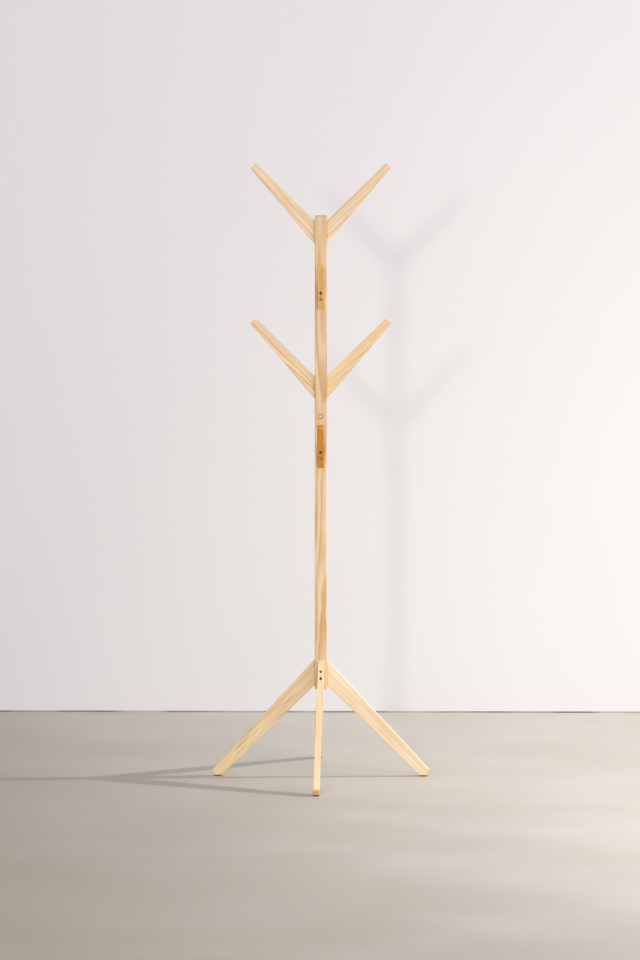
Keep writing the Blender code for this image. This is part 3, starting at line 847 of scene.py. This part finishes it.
def run_tree(piece, tree, sizes):
    """Add a tree to a piece, and set its named sizes."""
    modifier = piece.modifiers.new(tree.name, "NODES")
    modifier.node_group = tree
    for socket in tree.interface.items_tree:
        if socket.in_out == "INPUT" and socket.name in sizes:
            modifier[socket.identifier] = sizes[socket.name]


def make_board(
    node,
    side,
    slot,
    base_height,
    base_width,
    corners,
    screw_heights,
    pith,
    tilt=0.0,
    slant=0.0,
    **figure,
):
    """Cut one board, drill it, round its edges and fit it in place of its CAD node.

    The pith line passes `pith` metres aside and above the middle of the base, PITH_ALONG metres
    out from it, and runs `tilt` degrees off the board's own line. `figure` is how the pine looks.
    """
    low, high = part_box(node)
    turn = SIDE_TURNS[side]
    outward = Vector((round(math.cos(turn)), round(math.sin(turn)), 0))
    base_radius = min(abs(low.dot(outward)), abs(high.dot(outward)))
    base = outward * base_radius + Vector((0, 0, base_height))
    sole_end, lower_tip, upper_tip = corners
    run = ((lower_tip + upper_tip) / 2 - Vector((0, base_width / 2, 0))).normalized()
    to_side = Matrix.Rotation(turn, 3, "Z")
    aside, above = pith
    wood = pine(
        f"{node}_pine",
        pith=base + to_side @ Vector((PITH_ALONG, aside, base_width / 2 + above)),
        run=to_side @ Vector((run.x, math.tan(math.radians(tilt)), run.y)),
        face_side=to_side @ Vector((0, 1, 0)),
        **figure,
    )
    sizes = {
        "Base Width": base_width,
        "Sole End": sole_end,
        "Lower Tip": lower_tip,
        "Upper Tip": upper_tip,
        "Tip Round": TIP_ROUND,
        "Thickness": BOARD_THICKNESS,
        "Slant": slant,
        "Slant Level": sum(screw_heights) / 2,
        "Lower Screw Height": screw_heights[0],
        "Upper Screw Height": screw_heights[1],
        "Recess Diameter": RECESS_DIAMETER,
        "Recess Floor": RECESS_FLOOR,
        "Drill Length": 2 * base_width,
        "Side Turn": turn,
        "Base Place": base,
        "Wood": wood,
    }
    board = new_object(f"{node}_board", bpy.data.meshes.new(f"{node}_board"))
    run_tree(board, tapered_board, sizes)
    edges = board.modifiers.new("rounded edges", "BEVEL")
    edges.width = BOARD_ARRIS
    edges.segments = ARRIS_STEPS
    edges.limit_method = "ANGLE"
    edges.angle_limit = ARRIS_FROM_ANGLE
    run_tree(board, screw_recesses, sizes)
    baked(board)
    smoothed(board, BOARD_SHARP_ANGLE)
    board.modifiers.new("flat faces", "WEIGHTED_NORMAL").keep_sharp = True
    baked(board)
    fitted(board, wood, slot, node)


def arm_corners(length):
    """An arm's corners, as (outward, up): half way along its straight lower edge, and its tip's two."""
    along = Vector((math.cos(ARM_ANGLE), math.sin(ARM_ANGLE), 0))
    across = Vector((-along.y, along.x, 0))
    return along * (length / 2), along * length, along * length + across * ARM_TIP_WIDTH


tapered_board = board_tree()
screw_recesses = recess_tree()
for arms, length in ((LONG_ARMS, LONG_ARM_LENGTH), (SHORT_ARMS, SHORT_ARM_LENGTH)):
    for node, timber in arms.items():
        make_board(
            node,
            side=node.split("_")[1],
            slot="arm_pine",
            base_height=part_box(node)[0].z,
            base_width=ARM_BASE,
            corners=arm_corners(length),
            screw_heights=ARM_SCREW_HEIGHTS,
            **timber,
        )


# ---- Legs --------------------------------------------------------------------------------------
# Four splayed legs, sawn from the same board as the arms and fixed in the same way, with a flat sole
# and a blunt nose. The front leg and the back leg lean a little to the left of the post.

LEG_BASE = 0.072
LEG_REACH = 0.292
LEG_SOLE = 0.0230
LEG_NOSE_HEIGHT = 0.0150
LEG_NOSE_RAKE = 0.0045
LEG_SCREW_HEIGHTS = (0.0250, 0.0427)
SHEAR_SIGNS = {"front": -1, "back": 1, "left": 0, "right": 0}
TOE_END_TINT = (0.900, 0.740, 0.580, 1.0)
LEG_EARLY = (0.900, 0.690, 0.420, 1.0)
LEG_LATE = (0.680, 0.380, 0.115, 1.0)
GOLDEN_EARLY = (0.960, 0.750, 0.450, 1.0)
GOLDEN_LATE = (0.760, 0.460, 0.190, 1.0)
WHITE_EARLY = (0.900, 0.755, 0.540, 1.0)
FRONT_LEG_EARLY = (0.840, 0.640, 0.420, 1.0)
LEG = {"early": LEG_EARLY, "late": LEG_LATE, "cut_end": TOE_END_TINT}
LEGS = {
    "left_leg": {
        **LEG,
        "early": GOLDEN_EARLY,
        "late": GOLDEN_LATE,
        "pith": (0.040, -0.080),
        "depth": 0.5,
        "resin": 0.45,
    },
    "right_leg": {**LEG, "early": WHITE_EARLY, "pith": (0.060, -0.050), "depth": 0.25},
    "front_leg": {**LEG, "early": FRONT_LEG_EARLY, "pith": (0.050, 0.060), "depth": 0.6},
    "back_leg": {**LEG, "pith": (0.050, 0.040)},
}


def leg_corners(sole):
    """A leg's corners, as (outward, up): the two ends of its sole, and the top of its nose."""
    nose = Vector((LEG_REACH - LEG_NOSE_RAKE, sole, 0))
    return nose - Vector((LEG_SOLE, 0, 0)), nose, Vector((LEG_REACH, sole + LEG_NOSE_HEIGHT, 0))


for node, timber in LEGS.items():
    side = node.removesuffix("_leg")
    low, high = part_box(node)
    base_height = high.z - LEG_BASE
    sole = low.z - base_height
    pad_low, pad_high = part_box(f"{side}_foot_pad")
    foot_aside = (pad_low.x + pad_high.x) / 2
    drop = sum(LEG_SCREW_HEIGHTS) / 2 - sole
    make_board(
        node,
        side=side,
        slot="leg_pine",
        base_height=base_height,
        base_width=LEG_BASE,
        corners=leg_corners(sole),
        screw_heights=LEG_SCREW_HEIGHTS,
        slant=SHEAR_SIGNS[side] * foot_aside / drop,
        **timber,
    )


# ---- Wood screws -------------------------------------------------------------------------------
# Twenty-four pan-head wood screws, bright zinc-plated steel with a cross recess in the head, two to
# a board. Each was driven until its head met the recess floor, so the crosses point anywhere.

SCREW_SHANK = 0.0020
SCREW_POINT = 0.0060
SCREW_HEAD_HEIGHT = 0.0026
SCREW_HEAD_RIM = 0.0008
SCREW_SEAT_EASE = 0.0002
SCREW_SIDES = 24
DOME_STEPS = 4
CROSS_ARM = 0.0021
CROSS_WIDTH = 0.0008
CROSS_DEPTH = 0.0016
CROSS_TAPER = 0.45
SCREW_ROLL_SEED = 7
ZINC = (0.720, 0.720, 0.700, 1.0)
ZINC_DULL = (0.470, 0.460, 0.430, 1.0)


def cross_tool(face):
    """A tapered plus-shaped punch that enters a screw's head from its face."""
    arm = CROSS_ARM
    half = CROSS_WIDTH / 2
    outline = []
    for across, up in ((1, 0), (0, 1), (-1, 0), (0, -1)):
        outline.append((arm * across + half * up, arm * up - half * across))
        outline.append((arm * across - half * up, arm * up + half * across))
        outline.append((half * (across - up), half * (across + up)))
    shape = bmesh.new()
    top = [shape.verts.new((face + CUT_PAST, y, z)) for y, z in outline]
    low = [shape.verts.new((face - CROSS_DEPTH, y * CROSS_TAPER, z * CROSS_TAPER)) for y, z in outline]
    shape.faces.new(top)
    shape.faces.new(low)
    join_rings(shape, [top, low], len(outline))
    return as_object("cross_punch", shape)


def screw_tree():
    """A tree that sets one screw on every point, faced outward and rolled at random."""
    inputs = {"Geometry": "Geometry", "Screw": "Object", "Roll Seed": "Int", "Plating": "Material"}
    tree, given = open_group("driven screws", "GeometryNodeTree", inputs, {"Geometry": "Geometry"})
    info = add_node(tree, "GeometryNodeObjectInfo", {"Object": given["Screw"]})
    inputs = {"Name": "facing"}
    facing = add_node(tree, "GeometryNodeInputNamedAttribute", inputs, data_type="FLOAT_VECTOR")
    inputs = {"Vector": facing.outputs["Attribute"]}
    aimed = add_node(tree, "FunctionNodeAlignRotationToVector", inputs, axis="X")
    inputs = {2: 0.0, 3: math.pi, "Seed": given["Roll Seed"]}
    roll = add_node(tree, "FunctionNodeRandomValue", inputs, data_type="FLOAT")
    rolled = add_node(tree, "ShaderNodeCombineXYZ", {"X": roll.outputs[1]})
    spin = add_node(tree, "FunctionNodeEulerToRotation", {0: rolled.outputs[0]})
    inputs = {0: aimed.outputs[0], 1: spin.outputs[0]}
    turned_in = add_node(tree, "FunctionNodeRotateRotation", inputs, rotation_space="LOCAL")
    inputs = {
        "Points": given["Geometry"],
        "Instance": info.outputs["Geometry"],
        "Rotation": turned_in.outputs[0],
    }
    driven = add_node(tree, "GeometryNodeInstanceOnPoints", inputs)
    return close_tree(tree, driven.outputs[0], given["Plating"])


screw_nodes = sorted(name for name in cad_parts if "_screw_" in name)
first_low, first_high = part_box("upper_right_arm_screw_lower")
screw_length = first_high.x - first_low.x
head_radius = (first_high.z - first_low.z) / 2
dome = SCREW_HEAD_HEIGHT - SCREW_HEAD_RIM
point = SCREW_HEAD_HEIGHT - screw_length
profile = [
    (point, 0),
    (point + SCREW_POINT, SCREW_SHANK),
    (0, SCREW_SHANK),
    (0, head_radius - SCREW_SEAT_EASE),
    (SCREW_SEAT_EASE, head_radius),
    (SCREW_HEAD_RIM, head_radius),
]
for step in range(1, DOME_STEPS):
    angle = math.pi / 2 * step / DOME_STEPS
    profile.append((SCREW_HEAD_RIM + dome * math.sin(angle), head_radius * math.cos(angle)))
profile.append((SCREW_HEAD_HEIGHT, 0))
one_screw = turned("one_wood_screw", profile, SCREW_SIDES)
cut_out(one_screw, cross_tool(SCREW_HEAD_HEIGHT))
smoothed(one_screw, METAL_SHARP_ANGLE)

places = []
facings = []
for name in screw_nodes:
    low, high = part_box(name)
    middle = (low + high) / 2
    axis = Vector((1, 0, 0)) if abs(middle.x) > abs(middle.y) else Vector((0, 1, 0))
    outward = axis * math.copysign(1, middle.dot(axis))
    places.append(middle + outward * (screw_length / 2 - SCREW_HEAD_HEIGHT))
    facings.append(outward)
points = bpy.data.meshes.new("wood_screws")
points.from_pydata(places, [], [])
facing = points.attributes.new("facing", "FLOAT_VECTOR", "POINT")
facing.data.foreach_set("vector", [part for outward in facings for part in outward])
screws = new_object("wood_screws", points)
zinc = plated("screw_zinc", ZINC, ZINC_DULL, (0, 0, 0))
run_tree(screws, screw_tree(), {"Screw": one_screw, "Roll Seed": SCREW_ROLL_SEED, "Plating": zinc})
baked(screws)
bpy.data.objects.remove(one_screw)
fitted(screws, zinc, "zinc_screw", *screw_nodes)


# ---- Felt pads ---------------------------------------------------------------------------------
# A pad of brown pressed felt, die-cut with round corners, is stuck under each leg. Its surface is
# matted hair, and its upper and lower rims are a little rounded.

FELT_BROWN = (0.115, 0.042, 0.018, 1.0)
FELT_LIGHT = (0.200, 0.085, 0.040, 1.0)
FELT_SHEEN = 0.15
FELT_SHEEN_ROUGHNESS = 0.6
PAD_CORNER = 0.0030
PAD_CORNER_STEPS = 6
PAD_RIM = 0.0005
PAD_DRAFT = 0.0001
PAD_SHARP_ANGLE = math.radians(60)


def pad_ring(low, high, inset, z):
    """The pad's rounded outline at one height, drawn in by an inset."""
    ring = []
    radius = PAD_CORNER - inset
    corners = ((1, 1, 0), (-1, 1, 1), (-1, -1, 2), (1, -1, 3))
    middle = (low + high) / 2
    half = (high - low) / 2
    for x, y, quarter in corners:
        centre = Vector((middle.x + x * (half.x - PAD_CORNER), middle.y + y * (half.y - PAD_CORNER)))
        for step in range(PAD_CORNER_STEPS + 1):
            angle = math.pi / 2 * (quarter + step / PAD_CORNER_STEPS)
            ring.append((centre.x + radius * math.cos(angle), centre.y + radius * math.sin(angle), z))
    return ring


felt, tree, shader, here = bare_material("pad_felt")
hairs = marks(tree, here, (0.0003, 0.0003, 0.0003), 4.0, 0.7)
matted = marks(tree, here, (0.0020, 0.0020, 0.0010))
colour = tinted(tree, graded(tree, hairs, 0.35, 0.75), FELT_BROWN, FELT_LIGHT)
colour = tinted(tree, graded(tree, matted, 0.4, 0.7, 0.0, 0.4), colour, FELT_BROWN)
dress(tree, shader, colour, graded(tree, matted, 0.3, 0.7, 0.88, 0.98), hairs, 0.8, 0.0003)
fill(tree, shader, {"Sheen Weight": FELT_SHEEN, "Sheen Roughness": FELT_SHEEN_ROUGHNESS})

for side in SIDE_TURNS:
    low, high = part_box(f"{side}_foot_pad")
    shape = bmesh.new()
    levels = (
        (PAD_RIM, low.z),
        (0.0, low.z + PAD_RIM),
        (PAD_DRAFT, high.z - PAD_RIM),
        (PAD_RIM, high.z),
    )
    rings = [[shape.verts.new(point) for point in pad_ring(low, high, *level)] for level in levels]
    shape.faces.new(rings[0])
    shape.faces.new(rings[-1])
    join_rings(shape, rings, len(rings[0]))
    pad = as_object(f"{side}_felt", shape)
    smoothed(pad, PAD_SHARP_ANGLE)
    fitted(pad, felt, "felt_pad", f"{side}_foot_pad")
